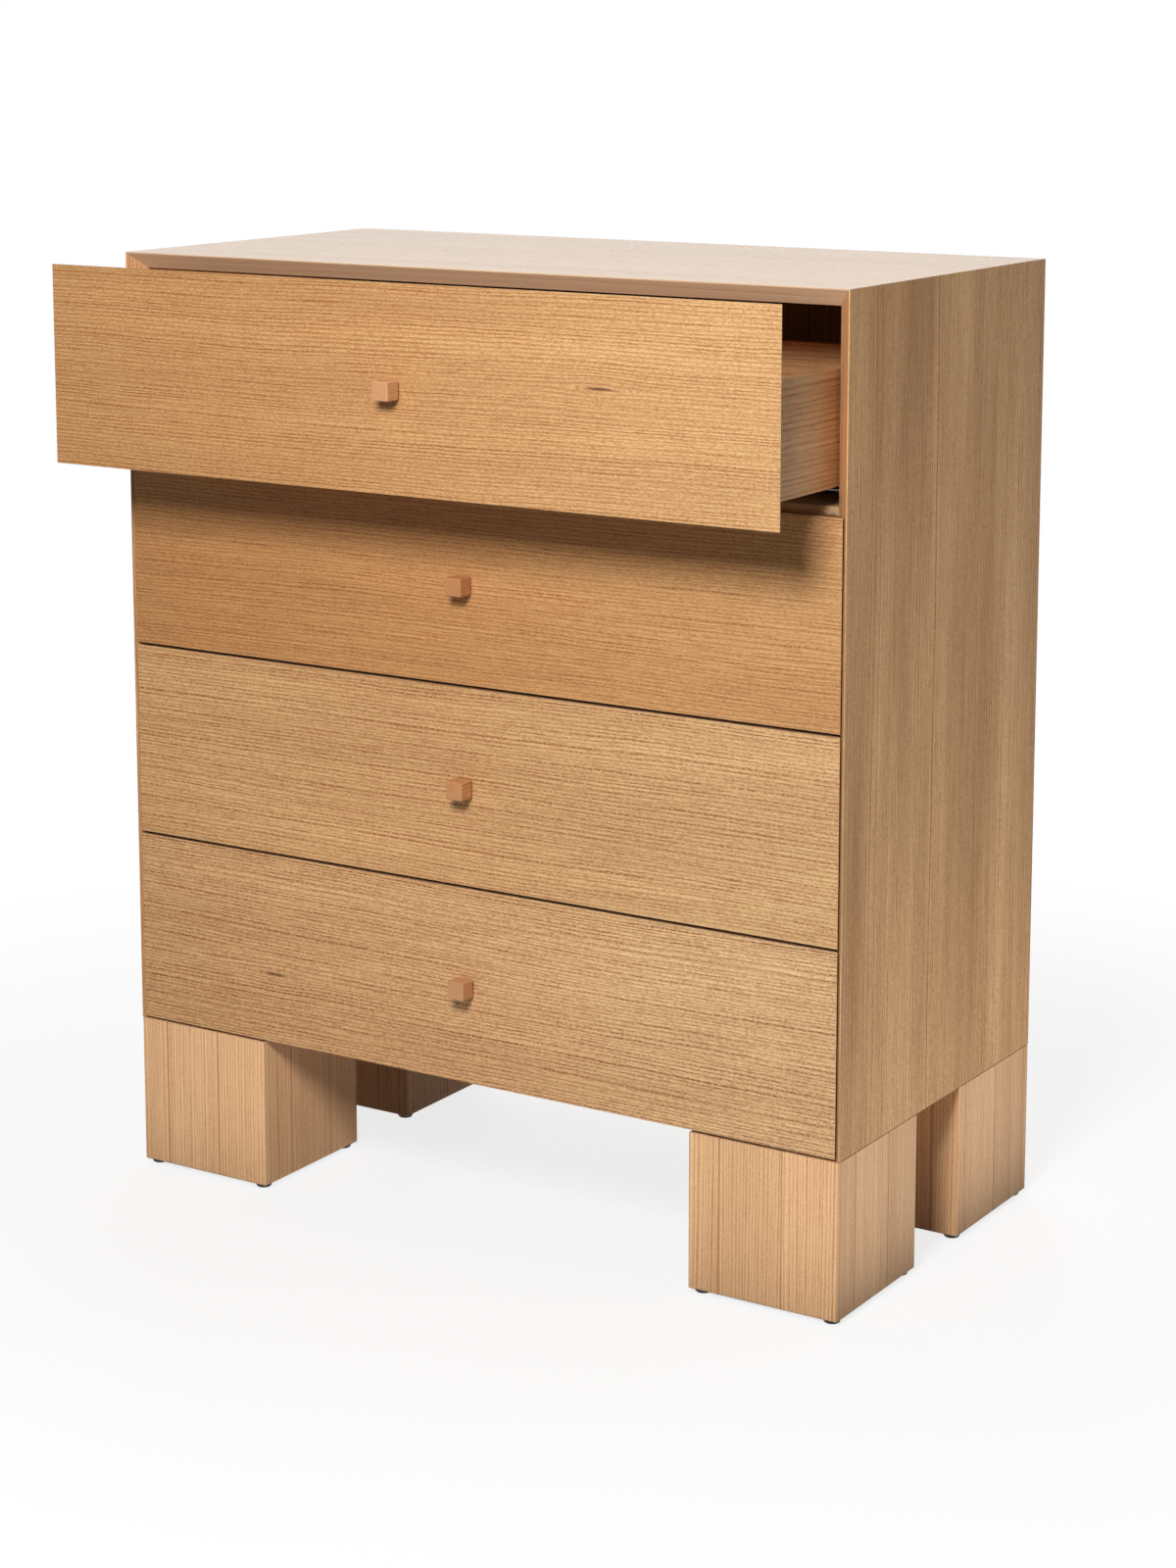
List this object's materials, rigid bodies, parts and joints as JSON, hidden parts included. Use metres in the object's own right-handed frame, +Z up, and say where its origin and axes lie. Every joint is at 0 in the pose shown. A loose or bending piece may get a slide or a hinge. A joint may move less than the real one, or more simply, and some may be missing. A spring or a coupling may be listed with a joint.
{
  "type": "chest of drawers",
  "caption": "Oak chest of drawers: bevel-edged case, flush drawer fronts with square wooden knobs, block legs. Each drawer slides out on concealed runners.",
  "frame": {"origin": "centre of the case's plan, at floor level under the glides", "axes": "+X to the right seen from the front, +Y from the front to the back, +Z up"},
  "size_m": [0.914, 0.6075, 1.066],
  "materials": {
    "oak_veneer": "satin clear-coated oak veneer on board",
    "oak_solid": "satin clear-coated solid oak",
    "drawer_wood": "satin clear-coated oak drawer stock",
    "plain_panel": "oak-faced plywood, thin clear coat",
    "runner_steel": "zinc-plated pressed steel",
    "fastener_steel": "zinc-plated steel",
    "clip_plastic": "moulded grey plastic",
    "glide_plastic": "moulded black plastic"
  },
  "bodies": {
    "case": {"back_panel": "plain_panel", "bottom_panel": "plain_panel", "cabinet_runners": "runner_steel", "glides": "glide_plastic", "left_panel": "oak_veneer", "leg_back_left": "oak_solid", "leg_back_right": "oak_solid", "leg_bolts": "fastener_steel", "leg_front_left": "oak_solid", "leg_front_right": "oak_solid", "leg_plates": "plain_panel", "lower_rail": "oak_solid", "middle_rail": "oak_solid", "right_panel": "oak_veneer", "top_panel": "oak_veneer", "upper_rail": "oak_solid"},
    "drawer_1": {"drawer_1_back": "drawer_wood", "drawer_1_bottom": "drawer_wood", "drawer_1_box_front": "drawer_wood", "drawer_1_clips": "clip_plastic", "drawer_1_front": "oak_veneer", "drawer_1_knob": "oak_solid", "drawer_1_knob_screw": "fastener_steel", "drawer_1_left_side": "drawer_wood", "drawer_1_right_side": "drawer_wood", "drawer_1_runners": "runner_steel"},
    "middle_runners_1": {"drawer_1_middle_runners": "runner_steel"},
    "drawer_2": {"drawer_2_back": "drawer_wood", "drawer_2_bottom": "drawer_wood", "drawer_2_box_front": "drawer_wood", "drawer_2_clips": "clip_plastic", "drawer_2_front": "oak_veneer", "drawer_2_knob": "oak_solid", "drawer_2_knob_screw": "fastener_steel", "drawer_2_left_side": "drawer_wood", "drawer_2_right_side": "drawer_wood", "drawer_2_runners": "runner_steel"},
    "middle_runners_2": {"drawer_2_middle_runners": "runner_steel"},
    "drawer_3": {"drawer_3_back": "drawer_wood", "drawer_3_bottom": "drawer_wood", "drawer_3_box_front": "drawer_wood", "drawer_3_clips": "clip_plastic", "drawer_3_front": "oak_veneer", "drawer_3_knob": "oak_solid", "drawer_3_knob_screw": "fastener_steel", "drawer_3_left_side": "drawer_wood", "drawer_3_right_side": "drawer_wood", "drawer_3_runners": "runner_steel"},
    "middle_runners_3": {"drawer_3_middle_runners": "runner_steel"},
    "drawer_4": {"drawer_4_back": "drawer_wood", "drawer_4_bottom": "drawer_wood", "drawer_4_box_front": "drawer_wood", "drawer_4_clips": "clip_plastic", "drawer_4_front": "oak_veneer", "drawer_4_knob": "oak_solid", "drawer_4_knob_screw": "fastener_steel", "drawer_4_left_side": "drawer_wood", "drawer_4_right_side": "drawer_wood", "drawer_4_runners": "runner_steel"},
    "middle_runners_4": {"drawer_4_middle_runners": "runner_steel"}
  },
  "joints": [
    {"name": "drawer_1_slide", "type": "slide", "parent": "case", "child": "drawer_1", "axis": [0, -1, 0], "range_m": [-0.128, 0.212]},
    {"name": "middle_runners_1_slide", "type": "slide", "parent": "case", "child": "middle_runners_1", "axis": [0, -1, 0], "range_m": [-0.064, 0.106]},
    {"name": "drawer_2_slide", "type": "slide", "parent": "case", "child": "drawer_2", "axis": [0, -1, 0], "range_m": [0, 0.34]},
    {"name": "middle_runners_2_slide", "type": "slide", "parent": "case", "child": "middle_runners_2", "axis": [0, -1, 0], "range_m": [0, 0.17]},
    {"name": "drawer_3_slide", "type": "slide", "parent": "case", "child": "drawer_3", "axis": [0, -1, 0], "range_m": [0, 0.34]},
    {"name": "middle_runners_3_slide", "type": "slide", "parent": "case", "child": "middle_runners_3", "axis": [0, -1, 0], "range_m": [0, 0.17]},
    {"name": "drawer_4_slide", "type": "slide", "parent": "case", "child": "drawer_4", "axis": [0, -1, 0], "range_m": [0, 0.34]},
    {"name": "middle_runners_4_slide", "type": "slide", "parent": "case", "child": "middle_runners_4", "axis": [0, -1, 0], "range_m": [0, 0.17]}
  ],
  "couplings": [
    {"joint": "middle_runners_1_slide", "follows": "drawer_1_slide", "ratio": 0.5},
    {"joint": "middle_runners_2_slide", "follows": "drawer_2_slide", "ratio": 0.5},
    {"joint": "middle_runners_3_slide", "follows": "drawer_3_slide", "ratio": 0.5},
    {"joint": "middle_runners_4_slide", "follows": "drawer_4_slide", "ratio": 0.5}
  ]
}
